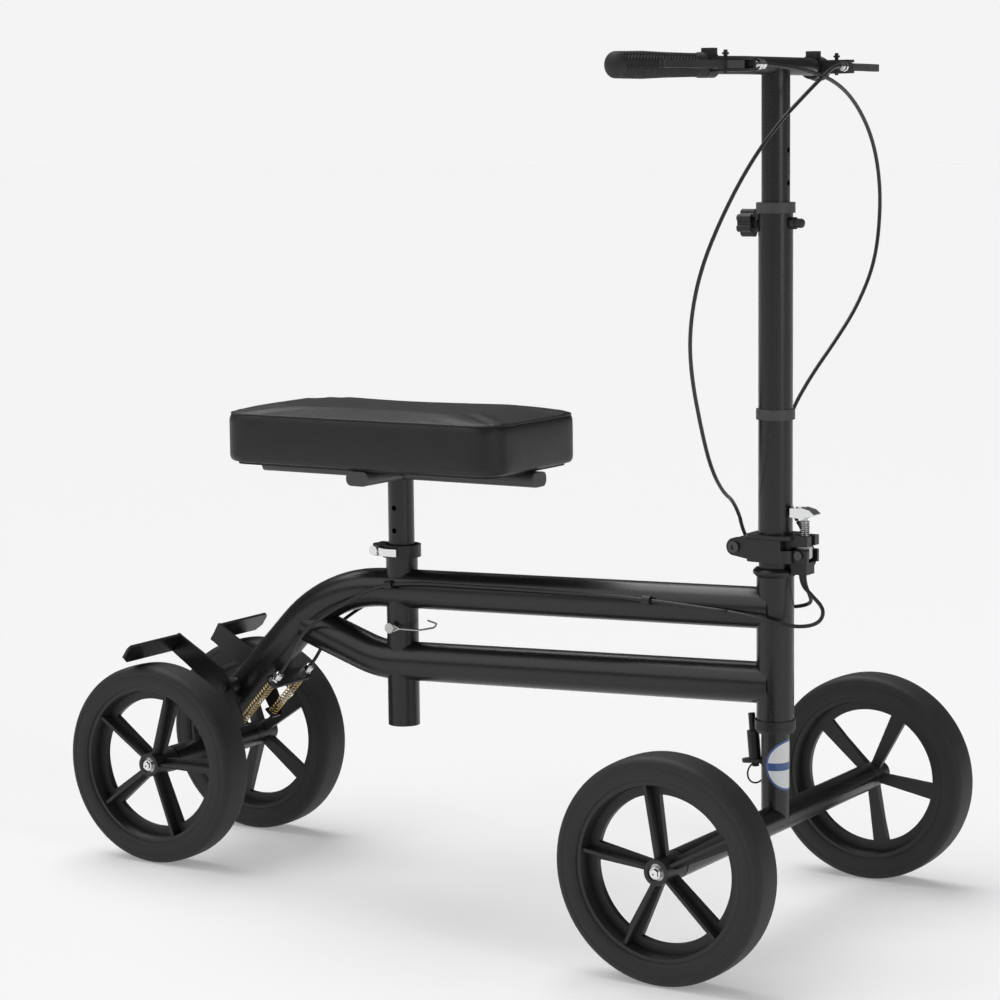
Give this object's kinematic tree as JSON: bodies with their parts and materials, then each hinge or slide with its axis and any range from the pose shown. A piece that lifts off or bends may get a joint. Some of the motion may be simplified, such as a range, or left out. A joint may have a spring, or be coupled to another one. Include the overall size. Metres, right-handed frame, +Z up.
{
  "type": "knee scooter",
  "caption": "Steerable folding knee scooter: padded knee rest on a two-tube frame, four rubber-tyred wheels, height-adjustable handlebar, hand levers and cable-pulled rear brakes.",
  "frame": {"origin": "on the ground, midway between the front and rear axles and on the scooter's middle plane", "axes": "+X forward, +Y to the rider's left, +Z up"},
  "size_m": [0.845, 0.457, 0.793],
  "materials": {
    "frame_paint": "gloss black",
    "black_metal": "satin black",
    "chrome": "polished",
    "zinc": "zinc plated",
    "brass_spring": "yellow zinc",
    "black_plastic": "moulded",
    "wheel_plastic": "moulded",
    "tyre_rubber": "matt",
    "grip_rubber": "textured",
    "cable_black": "smooth",
    "pad_vinyl": "vinyl",
    "board_wood": "stained"
  },
  "bodies": {
    "frame": {"head_tube": "frame_paint", "upper_main_tube": "frame_paint", "lower_main_tube": "frame_paint", "seat_tube": "frame_paint", "rear_axle_tube": "frame_paint", "brake_bracket": "black_metal", "headset_cups": "black_metal", "headset_bearings": "zinc", "rear_axle_bolts": "chrome", "rear_cable_adjusters": "chrome", "cable_clips": "black_plastic", "frame_brake_cables": "cable_black", "right_brake_spring": "brass_spring", "left_brake_spring": "brass_spring", "brake_pivot_bolts": "chrome", "seat_clamp_collar": "black_metal", "rear_wheel_bearings": "zinc"},
    "fork": {"fork_tube": "frame_paint", "front_axle_tube": "frame_paint", "front_axle_bolts": "chrome", "hinge_lower_block": "black_metal", "hinge_bolts": "chrome", "cable_guide": "black_plastic", "lock_sleeve": "black_metal", "steering_cable_loops": "cable_black", "front_wheel_bearings": "zinc"},
    "lock_pin_body": {"lock_pin": "zinc"},
    "column": {"hinge_upper_block": "black_metal", "column_sleeve": "frame_paint", "sleeve_collars": "black_plastic", "clamp_cap": "black_plastic", "latch_rod": "zinc", "latch_spring": "zinc"},
    "knob": {"star_knob": "black_plastic"},
    "latch": {"latch_lever": "chrome"},
    "handlebar_set": {"stem": "black_metal", "handlebar": "black_metal", "grips": "grip_rubber", "lever_brackets": "black_plastic", "lever_adjusters": "chrome", "upper_brake_cables": "cable_black"},
    "right_brake_lever": {"right_lever": "black_metal"},
    "left_brake_lever": {"left_lever": "black_metal"},
    "right_brake": {"right_brake_arm": "black_metal"},
    "left_brake": {"left_brake_arm": "black_metal"},
    "seat": {"seat_post": "frame_paint", "seat_cross_bars": "black_metal", "bar_end_caps": "black_plastic", "seat_board": "board_wood", "seat_pad": "pad_vinyl"},
    "seat_lever": {"seat_clamp_lever": "chrome"},
    "seat_lock_pin": {"seat_pin": "zinc"},
    "front_right_wheel": {"front_right_tyre": "tyre_rubber", "front_right_rim": "wheel_plastic"},
    "front_left_wheel": {"front_left_tyre": "tyre_rubber", "front_left_rim": "wheel_plastic"},
    "rear_right_wheel": {"rear_right_tyre": "tyre_rubber", "rear_right_rim": "wheel_plastic"},
    "rear_left_wheel": {"rear_left_tyre": "tyre_rubber", "rear_left_rim": "wheel_plastic"}
  },
  "joints": [
    {"name": "steering", "type": "hinge", "parent": "frame", "child": "fork", "pos_m": [0.3225, 0, 0.258], "axis": [0, 0, 1], "range_deg": [-45, 45], "deforming": ["steering_cable_loops"]},
    {"name": "lock_pull", "type": "slide", "parent": "fork", "child": "lock_pin_body", "axis": [0.0872, 0, -0.9962], "range_m": [0, 0.01], "stiffness_N_per_m": 300, "springref_m": -0.006},
    {"name": "column_fold", "type": "hinge", "parent": "fork", "child": "column", "pos_m": [0.2915, 0, 0.3508], "axis": [0, -1, 0], "range_deg": [0, 52]},
    {"name": "handlebar_height", "type": "slide", "parent": "column", "child": "handlebar_set", "axis": [0, 0, 1], "range_m": [-0.06, 0.06], "deforming": ["upper_brake_cables"]},
    {"name": "knob_turn", "type": "hinge", "parent": "column", "child": "knob", "pos_m": [0.2945, 0, 0.6405], "axis": [-1, 0, 0], "continuous": true},
    {"name": "latch_open", "type": "hinge", "parent": "column", "child": "latch", "pos_m": [0.3515, 0, 0.3825], "axis": [0, -1, 0], "range_deg": [0, 90]},
    {"name": "right_lever_squeeze", "type": "hinge", "parent": "handlebar_set", "child": "right_brake_lever", "pos_m": [0.3295, -0.109, 0.7785], "axis": [0, 0, -1], "range_deg": [0, 18], "stiffness_Nm_per_rad": 0.5, "springref_deg": -5.73},
    {"name": "left_lever_squeeze", "type": "hinge", "parent": "handlebar_set", "child": "left_brake_lever", "pos_m": [0.3295, 0.109, 0.7785], "axis": [0, 0, 1], "range_deg": [0, 18], "stiffness_Nm_per_rad": 0.5, "springref_deg": -5.73},
    {"name": "right_brake_press", "type": "hinge", "parent": "frame", "child": "right_brake", "pos_m": [-0.2755, -0.0335, 0.172], "axis": [0, -1, 0], "range_deg": [0, 4.85], "stiffness_Nm_per_rad": 2, "springref_deg": -5.73, "deforming": ["right_brake_spring"]},
    {"name": "left_brake_press", "type": "hinge", "parent": "frame", "child": "left_brake", "pos_m": [-0.2755, 0.0335, 0.172], "axis": [0, -1, 0], "range_deg": [0, 4.85], "stiffness_Nm_per_rad": 2, "springref_deg": -5.73, "deforming": ["left_brake_spring"]},
    {"name": "seat_height", "type": "slide", "parent": "frame", "child": "seat", "axis": [0, 0, 1], "range_m": [-0.012, 0.035]},
    {"name": "seat_lever_open", "type": "hinge", "parent": "frame", "child": "seat_lever", "pos_m": [-0.1051, 0, 0.32], "axis": [0, -1, 0], "range_deg": [0, 100]},
    {"name": "seat_pin_pull", "type": "slide", "parent": "frame", "child": "seat_lock_pin", "axis": [0, -1, 0], "range_m": [0, 0.035]},
    {"name": "front_right_spin", "type": "hinge", "parent": "fork", "child": "front_right_wheel", "pos_m": [0.3225, -0.208, 0.1], "axis": [0, 1, 0], "continuous": true},
    {"name": "front_left_spin", "type": "hinge", "parent": "fork", "child": "front_left_wheel", "pos_m": [0.3225, 0.208, 0.1], "axis": [0, 1, 0], "continuous": true},
    {"name": "rear_right_spin", "type": "hinge", "parent": "frame", "child": "rear_right_wheel", "pos_m": [-0.3225, -0.0844, 0.1], "axis": [0, 1, 0], "continuous": true},
    {"name": "rear_left_spin", "type": "hinge", "parent": "frame", "child": "rear_left_wheel", "pos_m": [-0.3225, 0.0844, 0.1], "axis": [0, 1, 0], "continuous": true}
  ],
  "couplings": [
    {"joint": "right_brake_press", "follows": "right_lever_squeeze", "ratio": 0.2667},
    {"joint": "left_brake_press", "follows": "left_lever_squeeze", "ratio": 0.2667}
  ]
}
